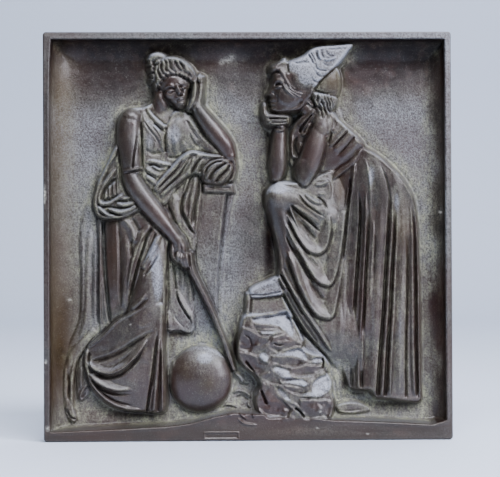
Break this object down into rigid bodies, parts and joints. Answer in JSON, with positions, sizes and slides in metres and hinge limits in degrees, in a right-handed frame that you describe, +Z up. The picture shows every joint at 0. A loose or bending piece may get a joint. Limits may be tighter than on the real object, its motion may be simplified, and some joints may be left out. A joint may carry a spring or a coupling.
{
  "type": "relief plaque",
  "caption": "Square cast bronze wall plaque with a raised rim and two draped figures in relief, a pillar, a globe and rocks.",
  "frame": {"origin": "centre of the flat back, where the plaque meets the wall", "axes": "+X to the viewer's right, +Y into the wall, away from the viewer, +Z up along the figures"},
  "size_m": [0.2, 0.0185, 0.2],
  "materials": {
    "bronze": "cast bronze with a dark brown patina, worn and glossy on the high points, grey and dusty in the field and the hollows"
  },
  "bodies": {
    "root": {"cast_plaque": "bronze"}
  },
  "joints": []
}
